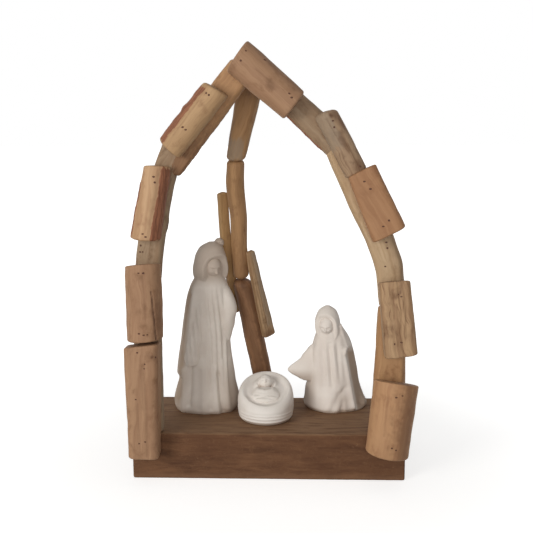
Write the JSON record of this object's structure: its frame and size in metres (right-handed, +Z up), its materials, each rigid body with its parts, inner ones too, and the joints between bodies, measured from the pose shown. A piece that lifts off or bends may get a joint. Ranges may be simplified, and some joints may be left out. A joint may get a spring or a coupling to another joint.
{
  "type": "nativity stable",
  "caption": "Driftwood stable: a pointed arch of lapped sticks and a spliced rear leg on a sawn plank, sheltering loose standing and kneeling robed figures and a round crib with an infant.",
  "frame": {"origin": "centre of the plank's bottom face", "axes": "+Z up, +X to the right seen from the front, -Y towards the viewer"},
  "size_m": [0.166, 0.0885, 0.25],
  "materials": {
    "sawn_wood": "rough-sawn, dark brown",
    "stick_wood": "tumbled smooth, honey tan with bark traces",
    "leg_wood": "tumbled smooth, brown",
    "brad_wire": "sunk and dulled",
    "bisque": "matte unglazed"
  },
  "bodies": {
    "stable": {"plank": "sawn_wood", "left_post_rear": "stick_wood", "left_wall_rear": "stick_wood", "left_rafter_rear": "stick_wood", "right_rafter_rear": "stick_wood", "right_wall_rear": "stick_wood", "right_post_rear": "stick_wood", "left_post_front": "stick_wood", "left_wall_front": "stick_wood", "left_haunch_front": "stick_wood", "left_rafter_front": "stick_wood", "apex_front": "stick_wood", "right_haunch_front": "stick_wood", "right_rafter_front": "stick_wood", "right_wall_front": "stick_wood", "right_post_front": "stick_wood", "leg_lower": "leg_wood", "leg_middle": "leg_wood", "leg_upper": "leg_wood", "leg_splice_left": "leg_wood", "leg_splice_right": "leg_wood", "brads_left": "brad_wire", "brads_apex": "brad_wire", "brads_right": "brad_wire", "leg_pins": "brad_wire"},
    "standing": {"standing_figure": "bisque"},
    "kneeling": {"kneeling_figure": "bisque"},
    "crib": {"manger_with_infant": "bisque"}
  },
  "joints": [
    {"name": "standing_lift", "type": "slide", "parent": "stable", "child": "standing", "axis": [-0.8, 0, 0.6], "range_m": [0, 0.12]},
    {"name": "kneeling_lift", "type": "slide", "parent": "stable", "child": "kneeling", "axis": [0.8, 0, 0.6], "range_m": [0, 0.12]},
    {"name": "crib_lift", "type": "slide", "parent": "stable", "child": "crib", "axis": [0, -0.8, 0.6], "range_m": [0, 0.12]}
  ]
}
